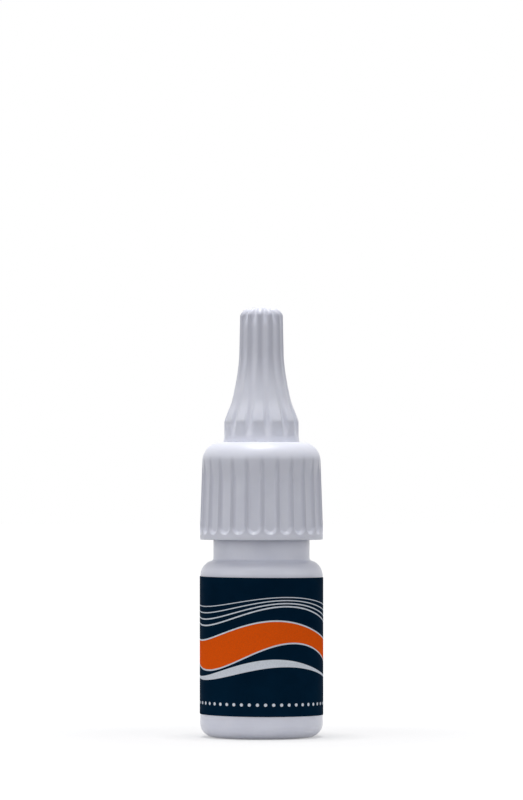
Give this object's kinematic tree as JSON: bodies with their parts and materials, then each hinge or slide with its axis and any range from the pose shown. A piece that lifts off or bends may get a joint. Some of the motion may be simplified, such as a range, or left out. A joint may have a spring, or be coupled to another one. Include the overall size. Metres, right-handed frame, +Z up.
{
  "type": "bottle of gel glue",
  "caption": "Small milky plastic squeeze bottle of gel glue with a dark wrap-round label, a ribbed white screw collar over a dispensing nozzle, and a fluted cone cap that screws on.",
  "frame": {"origin": "middle of the bottle's base, on the surface that it stands on", "axes": "+Z up along the bottle's axis, -Y towards the front of the label, whose lapped edge is at +Y"},
  "size_m": [0.0264, 0.0265, 0.0914],
  "materials": {
    "milky_plastic": "satin, milky and slightly see-through",
    "label_film": "printed film, satin",
    "gel": "wet, cloudy",
    "natural_plastic": "satin, unpigmented",
    "white_plastic": "satin white",
    "pin_steel": "drawn wire"
  },
  "bodies": {
    "bottle": {"bottle": "milky_plastic", "label": "label_film", "gel_fill": "gel"},
    "nozzle": {"nozzle": "natural_plastic"},
    "collar": {"screw_collar": "white_plastic"},
    "pin": {"clearing_pin": "pin_steel"},
    "cap": {"overcap": "white_plastic"}
  },
  "joints": [
    {"name": "collar_lift", "type": "slide", "parent": "bottle", "child": "nozzle", "axis": [0, 0, 1], "range_m": [0, 0.0048]},
    {"name": "collar_turn", "type": "hinge", "parent": "nozzle", "child": "collar", "pos_m": [0, 0, 0.0524], "axis": [0, 0, 1], "range_deg": [0, 540]},
    {"name": "cap_lift", "type": "slide", "parent": "nozzle", "child": "pin", "axis": [0, 0, 1], "range_m": [0, 0.002]},
    {"name": "cap_turn", "type": "hinge", "parent": "pin", "child": "cap", "pos_m": [0, 0, 0.0771], "axis": [0, 0, 1], "range_deg": [0, 360]}
  ],
  "couplings": [
    {"joint": "collar_turn", "follows": "collar_lift", "rad_per_m": 1963.5},
    {"joint": "cap_turn", "follows": "cap_lift", "rad_per_m": 3141.6}
  ]
}
